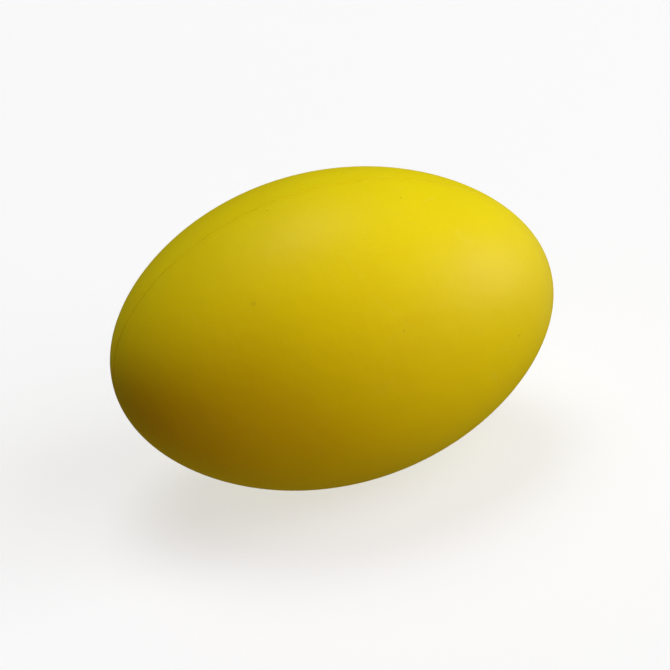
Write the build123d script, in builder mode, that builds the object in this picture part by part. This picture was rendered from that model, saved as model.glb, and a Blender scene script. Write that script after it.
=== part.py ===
from build123d import *
import os
from math import cos, pi, sqrt

# An egg shaker: two moulded plastic half-shells, parted lengthwise and welded shut over a charge of
# loose steel shot. The long axis is X, with the slightly fuller end at -X. The parting plane is XZ,
# upright through the long axis. The origin is the egg's centre, and Z is up, so that the egg lies on
# its belly with the shot pooled along the bottom of the chamber.

os.makedirs("parts", exist_ok=True)

# The egg's outline, in millimetres.
EGG_LENGTH = 58.0
EGG_DIAMETER = 39.8
END_TAPER = 0.0545  # how much slimmer than an ellipse both ends are
END_LEAN = 0.0154  # how much fuller the -X end is, and slimmer the +X end
WALL = 2.0
OUTLINE_SPANS = 12  # stretches of the spline along one half of the outline

# The joint between the half-shells: a tongue on the front one, in a groove in the back one.
TONGUE_THICKNESS = 0.6
TONGUE_HEIGHT = 1.2
TONGUE_CLEARANCE = 0.05  # on each side of the tongue
BEAD_HEIGHT = 0.25  # between the tongue's tip and the groove's floor
SEAM_BEVEL = 0.08  # on the outer edge of each rim, so that the seam shows as a fine line

# The shot, pooled in a single layer, in rows that run along X.
SHOT_DIAMETER = 3.5
SHOT_PITCH = 3.7  # between neighbouring balls, seen from above
SHOT_CLEARANCE = 0.15  # from the chamber's floor, and from its ceiling at the top of the travel
POOL_LENGTH = 35.0
POOL_WIDTH = 23.5

facing_front = Plane.XZ  # the parting plane, with its normal towards the front half-shell
facing_back = Plane(origin=(0, 0, 0), x_dir=(1, 0, 0), z_dir=(0, 1, 0))


def egg_radius(x, inset):
    """The radius at x of the egg's surface, moved inwards by inset."""
    along = x / (EGG_LENGTH / 2 - inset)
    slimming = 1 - END_TAPER * along**2 - END_LEAN * along
    return (EGG_DIAMETER / 2 - inset) * sqrt(1 - along**2) * slimming


def half_outline(inset):
    """The upper half of the egg's outline, moved inwards by inset, from its +X end to its -X end."""
    half_length = EGG_LENGTH / 2 - inset
    points = [(half_length, 0)]
    for span in range(1, OUTLINE_SPANS):
        x = half_length * cos(pi * span / OUTLINE_SPANS)
        points.append((x, egg_radius(x, inset)))
    points.append((-half_length, 0))
    return Spline(*points, tangents=[(0, 1), (0, -1)], tangent_scalars=[1, 1])


def wall_section():
    """The wall above the long axis, cut along the parting plane."""
    with BuildSketch(facing_front) as section:
        with BuildLine():
            outer = half_outline(0)
            inner = half_outline(WALL)
            Line(outer @ 0, inner @ 0)
            Line(outer @ 1, inner @ 1)
        make_face()
    return section.sketch


def egg_face(plane, inset):
    """The whole outline on a plane, moved inwards by inset."""
    with BuildSketch(plane) as face:
        with BuildLine():
            half_outline(inset)
            mirror(about=Plane.XZ)
        make_face()
    return face.sketch


def rim_ring(plane, outer_inset, inner_inset):
    """A flat ring that follows the rim, between two insets from the outer surface."""
    return egg_face(plane, outer_inset) - egg_face(plane, inner_inset)


# The tongue and the groove run round the middle of the wall.
tongue_inset = (WALL - TONGUE_THICKNESS) / 2
groove_inset = tongue_inset - TONGUE_CLEARANCE
groove_depth = TONGUE_HEIGHT + BEAD_HEIGHT
tongue_ring = rim_ring(facing_back, tongue_inset, WALL - tongue_inset)
groove_ring = rim_ring(facing_back, groove_inset, WALL - groove_inset)
bead_ring = rim_ring(facing_back.offset(TONGUE_HEIGHT), groove_inset, WALL - groove_inset)

# The front half-shell, with the tongue standing across the parting plane.
with BuildPart() as front_shell:
    revolve(wall_section(), axis=Axis.X, revolution_arc=180)
    front_rim = front_shell.faces().sort_by(Axis.Y)[-1]
    chamfer(front_rim.outer_wire().edges(), SEAM_BEVEL)
    extrude(tongue_ring, amount=TONGUE_HEIGHT)
front_shell.part.label = "front_shell"
export_step(front_shell.part, "parts/front_shell.step")

# The back half-shell, with the groove cut into its rim.
with BuildPart() as back_shell:
    revolve(wall_section(), axis=Axis.X, revolution_arc=-180)
    back_rim = back_shell.faces().sort_by(Axis.Y)[0]
    chamfer(back_rim.outer_wire().edges(), SEAM_BEVEL)
    extrude(groove_ring, amount=groove_depth, mode=Mode.SUBTRACT)
back_shell.part.label = "back_shell"
export_step(back_shell.part, "parts/back_shell.step")

# The weld bead: the ring of melted plastic that fills the groove beyond the tongue's tip.
with BuildPart() as weld_bead:
    extrude(bead_ring, amount=BEAD_HEIGHT)
weld_bead.part.label = "weld_bead"
export_step(weld_bead.part, "parts/weld_bead.step")


def pool_places():
    """Where the balls lie, seen from above: staggered rows that fill an oval pool."""
    row_spacing = SHOT_PITCH * sqrt(3) / 2
    last_row = int(POOL_WIDTH / 2 / row_spacing)
    last_place = int(POOL_LENGTH / 2 / SHOT_PITCH) + 1
    places = []
    for row in range(-last_row, last_row + 1):
        stagger = (row % 2) / 2
        for place in range(-last_place, last_place + 1):
            x = (place + stagger) * SHOT_PITCH
            y = row * row_spacing
            if (x / (POOL_LENGTH / 2)) ** 2 + (y / (POOL_WIDTH / 2)) ** 2 <= 1:
                places.append((x, y))
    return places


def floor_depth(x, y):
    """How far below the long axis a ball's centre is when the ball lies on the chamber's floor."""
    centre_inset = WALL + SHOT_DIAMETER / 2 + SHOT_CLEARANCE
    return sqrt(egg_radius(x, centre_inset) ** 2 - y**2)


# The steel shot. Each ball is free to fly from the chamber's floor up to its ceiling, which is as
# far above the long axis as the floor is below it.
for number, (x, y) in enumerate(pool_places(), start=1):
    with BuildPart(Plane(origin=(x, y, -floor_depth(x, y)))) as shot:
        Sphere(SHOT_DIAMETER / 2)
    shot.part.label = f"shot_{number:02d}"
    export_step(shot.part, f"parts/{shot.part.label}.step")
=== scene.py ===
import math

import bpy
from mathutils import Matrix, Vector


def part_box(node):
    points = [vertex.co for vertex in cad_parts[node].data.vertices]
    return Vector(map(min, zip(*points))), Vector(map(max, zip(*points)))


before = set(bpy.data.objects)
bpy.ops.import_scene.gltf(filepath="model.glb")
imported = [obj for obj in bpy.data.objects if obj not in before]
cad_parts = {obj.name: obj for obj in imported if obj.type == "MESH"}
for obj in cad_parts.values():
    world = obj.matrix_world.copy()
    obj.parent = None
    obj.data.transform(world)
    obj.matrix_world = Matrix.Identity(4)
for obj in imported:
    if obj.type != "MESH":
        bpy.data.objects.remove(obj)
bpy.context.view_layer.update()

# An egg shaker lying on its belly: two satin yellow half-shells, the weld bead between them and the
# steel shot inside. Every shape is the frame's own, and this script gives it materials, a studio and
# a camera. Lengths are in metres, except inside the materials, which measure in millimetres.
#
# A mask in a material is a socket that runs from 0, where its mark is absent, to 1, where it is full.

MM = 0.001

# The egg's size and place, from the frame.
egg_low, egg_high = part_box("front_shell")
half_length = egg_high.x
half_height = egg_high.z
egg_centre = Vector((0, 0, 0))
floor_height = egg_low.z

# ---------------------------------------------------------------- shader nodes


def new_material(name):
    """An empty node material with a Principled shader on its output."""
    material = bpy.data.materials.new(name)
    material.use_nodes = True
    tree = material.node_tree
    tree.nodes.clear()
    output = tree.nodes.new("ShaderNodeOutputMaterial")
    shader = tree.nodes.new("ShaderNodeBsdfPrincipled")
    tree.links.new(shader.outputs["BSDF"], output.inputs["Surface"])
    return material, tree, shader


def connect(tree, value, socket):
    """Puts a value on a socket: another socket, a number, or a colour or vector as a tuple."""
    if isinstance(value, bpy.types.NodeSocket):
        tree.links.new(value, socket)
    elif isinstance(value, tuple) and socket.type == "RGBA":
        socket.default_value = (*value, 1)
    else:
        socket.default_value = value


def maths(tree, operation, first, second=0.0):
    """One step of arithmetic, such as ADD or MULTIPLY, on two numbers."""
    node = tree.nodes.new("ShaderNodeMath")
    node.operation = operation
    connect(tree, first, node.inputs[0])
    connect(tree, second, node.inputs[1])
    return node.outputs["Value"]


def weakened(tree, mask, share):
    """A mask at a share of its strength. The share may be a mask too."""
    return maths(tree, "MULTIPLY", mask, share)


def vector_maths(tree, operation, first, second):
    """One step of arithmetic on two vectors."""
    node = tree.nodes.new("ShaderNodeVectorMath")
    node.operation = operation
    connect(tree, first, node.inputs[0])
    connect(tree, second, node.inputs[1])
    return node.outputs["Vector"]


def ramp(tree, value, start, end, low=0.0, high=1.0):
    """Low up to start, high from end on, and a straight slope between them."""
    node = tree.nodes.new("ShaderNodeMapRange")
    numbers = {"Value": value, "From Min": start, "From Max": end, "To Min": low, "To Max": high}
    for socket_name, number in numbers.items():
        connect(tree, number, node.inputs[socket_name])
    return node.outputs["Result"]


def mix(tree, amount, first, second):
    """The first colour where amount is 0, and the second where it is 1."""
    node = tree.nodes.new("ShaderNodeMix")
    node.data_type = "RGBA"
    connect(tree, amount, node.inputs["Factor"])
    sockets = [socket for socket in node.inputs if socket.type == "RGBA"]
    connect(tree, first, sockets[0])
    connect(tree, second, sockets[1])
    return next(socket for socket in node.outputs if socket.type == "RGBA")


def noise(tree, place, size, detail=2.0):
    """Soft random cloud from 0 to 1, whose patches are about size millimetres across."""
    node = tree.nodes.new("ShaderNodeTexNoise")
    connect(tree, place, node.inputs["Vector"])
    node.inputs["Scale"].default_value = 1 / size
    node.inputs["Detail"].default_value = detail
    return node.outputs["Fac"]


def cells(tree, place, size):
    """Distance to the nearest of many scattered points, in millimetres, and each point's random colour."""
    node = tree.nodes.new("ShaderNodeTexVoronoi")
    connect(tree, place, node.inputs["Vector"])
    node.inputs["Scale"].default_value = 1 / size
    return maths(tree, "MULTIPLY", node.outputs["Distance"], size), node.outputs["Color"]


def bump(tree, height, depth, under=None):
    """A normal that stands depth millimetres proud where height is 1, laid over the bump under it."""
    node = tree.nodes.new("ShaderNodeBump")
    node.inputs["Strength"].default_value = 1.0
    node.inputs["Distance"].default_value = depth * MM
    connect(tree, height, node.inputs["Height"])
    if under is not None:
        connect(tree, under, node.inputs["Normal"])
    return node.outputs["Normal"]


def millimetres(tree):
    """The point on the object in its own frame, in millimetres: a pattern there rides with the piece."""
    place = tree.nodes.new("ShaderNodeTexCoord").outputs["Object"]
    return vector_maths(tree, "MULTIPLY", place, (1 / MM, 1 / MM, 1 / MM))


def hairlines(tree, place, width, gap, patch_size, cover):
    """Fine scratches in three directions. Each direction has its own patches, of about that cover."""
    patch_edge = 0.65 - 0.3 * cover  # a noise cloud seldom leaves 0.35 to 0.65
    patch_fade = 0.08
    wobble = maths(tree, "MULTIPLY", noise(tree, place, size=patch_size), gap)
    lines = 0.0
    for direction in (Vector((3, 1, 2)), Vector((-1, 3, 1)), Vector((2, -2, 3))):
        along = tree.nodes.new("ShaderNodeVectorMath")
        along.operation = "DOT_PRODUCT"
        connect(tree, place, along.inputs[0])
        connect(tree, tuple(direction.normalized() / gap), along.inputs[1])
        planes = tree.nodes.new("ShaderNodeTexVoronoi")
        planes.voronoi_dimensions = "1D"
        connect(tree, maths(tree, "ADD", along.outputs["Value"], wobble), planes.inputs["W"])
        planes.inputs["Scale"].default_value = 1.0
        half_width = width / 2 / gap
        line = ramp(tree, planes.outputs["Distance"], start=0, end=half_width, low=1, high=0)
        shifted = vector_maths(tree, "ADD", place, tuple(direction * patch_size))
        cloud = noise(tree, shifted, size=patch_size)
        patches = ramp(tree, cloud, start=patch_edge, end=patch_edge + patch_fade)
        lines = maths(tree, "MAXIMUM", lines, weakened(tree, line, patches))
    return lines


# ---------------------------------------------------------------- the shells' plastic


def pigment(tree, place):
    """Yellow that drifts a little from patch to patch, and along the way that the melt flowed."""
    lemon = (0.818, 0.706, 0.002)
    golden = (0.794, 0.673, 0.003)
    deep = (0.72, 0.587, 0.002)
    drawn_out_along_x = (0.12, 1.0, 1.0)
    flow_lines = vector_maths(tree, "MULTIPLY", place, drawn_out_along_x)
    cloud = ramp(tree, noise(tree, place, size=9.0), start=0.3, end=0.7)
    flow = ramp(tree, noise(tree, flow_lines, size=2.5, detail=3.0), start=0.35, end=0.65, high=0.35)
    grain = ramp(tree, noise(tree, place, size=0.35), start=0.3, end=0.7, high=0.12)
    drifting = mix(tree, flow, mix(tree, cloud, lemon, golden), golden)
    return mix(tree, grain, drifting, deep)


def large_grain(tree, place):
    """Mask of one larger, fainter grain of pigment on the front, left of the middle."""
    across = -0.425 * half_length / MM
    forward = -0.612 * half_height / MM
    up = 0.663 * half_height / MM
    offset = tree.nodes.new("ShaderNodeVectorMath")
    offset.operation = "DISTANCE"
    connect(tree, place, offset.inputs[0])
    connect(tree, (across, forward, up), offset.inputs[1])
    return ramp(tree, offset.outputs["Value"], start=0.1, end=0.5, low=0.3, high=0)


def specks(tree, place):
    """Mask of sparse dark grains of pigment, and of the larger one."""
    distance, colour = cells(tree, place, size=4.5)
    grain = ramp(tree, distance, start=0.05, end=0.16, low=1, high=0)
    chosen = ramp(tree, colour, start=0.60, end=0.62)
    return maths(tree, "MAXIMUM", weakened(tree, grain, chosen), large_grain(tree, place))


def inner_side(tree):
    """Mask of the shells' surface towards the chamber."""
    place = tree.nodes.new("ShaderNodeTexCoord").outputs["Object"]
    share = tree.nodes.new("ShaderNodeVectorMath")
    share.operation = "LENGTH"
    in_egg = vector_maths(tree, "DIVIDE", place, (half_length, half_height, half_height))
    connect(tree, in_egg, share.inputs[0])
    return ramp(tree, share.outputs["Value"], start=0.945, end=0.965, low=1, high=0)


def from_seam(tree, place):
    """Distance from the parting plane, in millimetres."""
    parts = tree.nodes.new("ShaderNodeSeparateXYZ")
    connect(tree, place, parts.inputs["Vector"])
    return maths(tree, "ABSOLUTE", parts.outputs["Y"])


def shell_plastic():
    """Satin moulded plastic: handled outside, dull and shot-marked inside, and re-melted at the seam."""
    material, tree, shader = new_material("satin_yellow_plastic")
    place = millimetres(tree)
    inside = inner_side(tree)
    seam_distance = from_seam(tree, place)
    waver = noise(tree, place, size=1.6)
    in_seam = ramp(tree, seam_distance, start=0.03, end=0.11, low=1, high=0)
    near_seam = ramp(tree, maths(tree, "ADD", seam_distance, waver), start=0.5, end=1.5, low=1, high=0)
    scratches = hairlines(tree, place, width=0.08, gap=1.0, patch_size=6.0, cover=0.3)
    pits = ramp(tree, noise(tree, place, size=0.7, detail=5.0), start=0.54, end=0.74)
    shot_marks = weakened(tree, pits, inside)

    seam_amber = (0.62, 0.47, 0.004)
    dark_grain = (0.16, 0.12, 0.01)
    scuffed = (0.82, 0.76, 0.09)
    shot_grey = (0.42, 0.39, 0.16)
    colour = pigment(tree, place)
    colour = mix(tree, weakened(tree, scratches, 0.3), colour, scuffed)
    colour = mix(tree, weakened(tree, in_seam, 0.35), colour, seam_amber)
    colour = mix(tree, weakened(tree, specks(tree, place), 0.6), colour, dark_grain)
    colour = mix(tree, weakened(tree, shot_marks, 0.6), colour, shot_grey)
    connect(tree, colour, shader.inputs["Base Color"])

    handling = noise(tree, place, size=14.0, detail=3.0)
    roughness = ramp(tree, handling, start=0.35, end=0.65, low=0.475, high=0.525)
    roughness = maths(tree, "ADD", roughness, weakened(tree, scratches, 0.1))
    roughness = maths(tree, "SUBTRACT", roughness, weakened(tree, near_seam, 0.05))
    roughness = maths(tree, "ADD", roughness, weakened(tree, inside, 0.14))
    connect(tree, roughness, shader.inputs["Roughness"])

    orange_peel = noise(tree, place, size=2.4, detail=1.0)
    moulded_grain = noise(tree, place, size=0.3)
    normal = bump(tree, orange_peel, depth=0.045)
    normal = bump(tree, moulded_grain, depth=0.012, under=normal)
    normal = bump(tree, weakened(tree, near_seam, waver), depth=0.03, under=normal)
    normal = bump(tree, scratches, depth=-0.004, under=normal)
    normal = bump(tree, shot_marks, depth=-0.03, under=normal)
    connect(tree, normal, shader.inputs["Normal"])
    return material


# ---------------------------------------------------------------- the weld bead and the shot


def weld_plastic():
    """The same plastic after melting: deeper in colour, glossier, rippled, and with small bubbles."""
    material, tree, shader = new_material("remelted_yellow_plastic")
    place = millimetres(tree)
    ripples = noise(tree, place, size=0.7, detail=4.0)
    bubble_distance, _ = cells(tree, place, size=0.9)
    bubbles = ramp(tree, bubble_distance, start=0.08, end=0.2, low=1, high=0)

    deep = (0.66, 0.50, 0.003)
    bright = (0.78, 0.66, 0.004)
    burnt = (0.50, 0.34, 0.01)
    colour = mix(tree, ramp(tree, ripples, start=0.35, end=0.65), deep, bright)
    colour = mix(tree, weakened(tree, bubbles, 0.5), colour, burnt)
    connect(tree, colour, shader.inputs["Base Color"])

    roughness = ramp(tree, ripples, start=0.3, end=0.7, low=0.24, high=0.4)
    connect(tree, roughness, shader.inputs["Roughness"])

    normal = bump(tree, ripples, depth=0.05)
    normal = bump(tree, bubbles, depth=-0.04, under=normal)
    connect(tree, normal, shader.inputs["Normal"])
    return material


def shot_steel():
    """Tumbled steel: bright where the balls rub, darker and rougher in the small dings."""
    material, tree, shader = new_material("tumbled_steel")
    place = millimetres(tree)
    tarnish = noise(tree, place, size=1.4, detail=3.0)
    rubbed = ramp(tree, noise(tree, place, size=2.6), start=0.58, end=0.75, high=0.3)
    ding_distance, ding_colour = cells(tree, place, size=0.8)
    ding_shape = ramp(tree, ding_distance, start=0.05, end=0.26, low=1, high=0)
    chosen = ramp(tree, ding_colour, start=0.35, end=0.6)
    dings = weakened(tree, ding_shape, chosen)
    scratches = hairlines(tree, place, width=0.03, gap=0.35, patch_size=1.2, cover=0.5)

    bright = (0.74, 0.73, 0.71)
    dull = (0.56, 0.55, 0.54)
    oxide = (0.24, 0.21, 0.19)
    yellow_rub = (0.62, 0.56, 0.28)
    colour = mix(tree, ramp(tree, tarnish, start=0.35, end=0.65), bright, dull)
    colour = mix(tree, rubbed, colour, yellow_rub)
    colour = mix(tree, weakened(tree, dings, 0.7), colour, oxide)
    connect(tree, colour, shader.inputs["Base Color"])
    shader.inputs["Metallic"].default_value = 1.0

    roughness = ramp(tree, tarnish, start=0.3, end=0.7, low=0.32, high=0.48)
    roughness = maths(tree, "ADD", roughness, weakened(tree, dings, 0.25))
    connect(tree, roughness, shader.inputs["Roughness"])

    normal = bump(tree, noise(tree, place, size=0.5), depth=0.008)
    normal = bump(tree, scratches, depth=-0.004, under=normal)
    normal = bump(tree, dings, depth=-0.03, under=normal)
    connect(tree, normal, shader.inputs["Normal"])
    return material


def dress(names, material):
    """Gives the frame's own pieces a material."""
    for name in names:
        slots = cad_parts[name].data.materials
        slots.clear()
        slots.append(material)


shot_names = [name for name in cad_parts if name.startswith("shot_")]
dress(["front_shell", "back_shell"], shell_plastic())
dress(["weld_bead"], weld_plastic())
dress(shot_names, shot_steel())

# ---------------------------------------------------------------- floor


def floor_paper():
    """Pale, matt background paper, which glows a little so that the shadow on it stays light."""
    material, tree, shader = new_material("pale_floor")
    place = millimetres(tree)
    fibres = noise(tree, place, size=0.8, detail=4.0)
    darker = (0.39, 0.41, 0.43)
    lighter = (0.41, 0.43, 0.45)
    connect(tree, mix(tree, fibres, darker, lighter), shader.inputs["Base Color"])
    shader.inputs["Roughness"].default_value = 0.9
    shader.inputs["Emission Color"].default_value = (1, 1, 1, 1)
    shader.inputs["Emission Strength"].default_value = 0.6
    connect(tree, bump(tree, fibres, depth=0.01), shader.inputs["Normal"])
    return material


FLOOR_SIZE = 6
bpy.ops.mesh.primitive_plane_add(size=FLOOR_SIZE, location=(0, 0, floor_height))
floor = bpy.context.object
floor.name = "floor"
floor.data.materials.append(floor_paper())
# The floor only receives light. None comes back from it on to the egg.
floor.visible_diffuse = False
floor.visible_glossy = False
floor.visible_shadow = False

# ---------------------------------------------------------------- camera

VIEW_AZIMUTH = math.radians(-13.45)
VIEW_ELEVATION = math.radians(29.3)
VIEW_ROLL = math.radians(8.81)
VIEW_DISTANCE = 0.48
LENS = 203.75  # millimetres
AIM_OFFSET = Vector((0.0002, -0.00096, 0))  # across and up the picture, from the egg's centre


def direction_to(azimuth, elevation):
    """The unit vector from the egg towards that angle. Azimuth 0 is the front, and 90 degrees right."""
    level = math.cos(elevation)
    return Vector((math.sin(azimuth) * level, -math.cos(azimuth) * level, math.sin(elevation)))


back = direction_to(VIEW_AZIMUTH, VIEW_ELEVATION)
right = Vector((math.cos(VIEW_AZIMUTH), math.sin(VIEW_AZIMUTH), 0))
upright = Matrix((right, back.cross(right), back)).transposed()
rolled = upright @ Matrix.Rotation(-VIEW_ROLL, 3, "Z")
camera_data = bpy.data.cameras.new("camera")
camera_data.lens = LENS
camera = bpy.data.objects.new("camera", camera_data)
bpy.context.scene.collection.objects.link(camera)
aim = egg_centre + rolled @ AIM_OFFSET
camera.matrix_world = Matrix.Translation(aim + back * VIEW_DISTANCE) @ rolled.to_4x4()
bpy.context.scene.camera = camera
bpy.context.scene.view_settings.view_transform = "Standard"

# ---------------------------------------------------------------- light

# Soft keys on the upper right, a warm fill in front, and weak lamps behind and below for the edges.
LAMP_DISTANCE = 2.0
WHITE = (1, 1, 1)
WARM = (1, 0.38, 0.05)
SHOT_LAMP_SIZE = 3.0
SHOT_LAMP_POWER = 34


def softbox(name, azimuth, elevation, size, power, colour=WHITE, shines=False):
    """A round lamp aimed at the egg: angles in degrees, size across in metres, and power in watts.

    Only a lamp that shines shows as a highlight.
    """
    direction = direction_to(math.radians(azimuth), math.radians(elevation))
    data = bpy.data.lights.new(name, "AREA")
    data.shape = "DISK"
    data.size = size
    data.energy = power
    data.color = colour
    # With this on, a lamp that is hidden from reflections would still leave a highlight.
    data.cycles.use_multiple_importance_sampling = shines
    light = bpy.data.objects.new(name, data)
    light.visible_glossy = shines
    light.visible_camera = False
    light.location = egg_centre + direction * LAMP_DISTANCE
    light.rotation_euler = direction.to_track_quat("Z", "Y").to_euler()
    bpy.context.scene.collection.objects.link(light)
    return light


softbox("key", 56, 31, 2.4, 22.3)
softbox("high_key", 35, 50, 2.4, 8.2)
softbox("overhead", 180, 72, 1.6, 14.6)
softbox("glint", 160, 75, 0.8, 3.75, shines=True)
softbox("right", 80, 15, 0.8, 9.1, shines=True)
softbox("warm_fill", 5, 12, 3.2, 11.6, colour=WARM)
softbox("back", 170, 5, 2.0, 6.0)
softbox("right_rim", 120, -15, 1.6, 1.4, shines=True)
softbox("back_left", 215, -5, 2.4, 5.8)
softbox("below", 0, -89, 2.4, 8.6)
softbox("below_back", 150, -50, 2.4, 9.6)

# Steel needs something broad to reflect, so two lamps shine on the shot alone. The shells keep their
# light out, so they show only when a shell is off.
shot_only = bpy.data.collections.new("shot_only")
for name in shot_names:
    shot_only.objects.link(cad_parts[name])
for name, azimuth, elevation in (("shot_left", -50, 40), ("shot_right", 40, 55)):
    shot_lamp = softbox(name, azimuth, elevation, SHOT_LAMP_SIZE, SHOT_LAMP_POWER, shines=True)
    shot_lamp.light_linking.receiver_collection = shot_only

# The sky lights the egg with a dim warm glow, and is seen as a pale backdrop past the floor.
world = bpy.data.worlds.new("world")
world.use_nodes = True
sky_tree = world.node_tree
glow = sky_tree.nodes["Background"]
glow.inputs["Color"].default_value = (1, 0.55, 0.35, 1)
glow.inputs["Strength"].default_value = 0.051
backdrop = sky_tree.nodes.new("ShaderNodeBackground")
backdrop.inputs["Color"].default_value = (0.9, 0.9, 0.9, 1)
seen = sky_tree.nodes.new("ShaderNodeLightPath").outputs["Is Camera Ray"]
either = sky_tree.nodes.new("ShaderNodeMixShader")
sky_tree.links.new(seen, either.inputs["Fac"])
sky_tree.links.new(glow.outputs["Background"], either.inputs[1])
sky_tree.links.new(backdrop.outputs["Background"], either.inputs[2])
sky_tree.links.new(either.outputs["Shader"], sky_tree.nodes["World Output"].inputs["Surface"])
bpy.context.scene.world = world
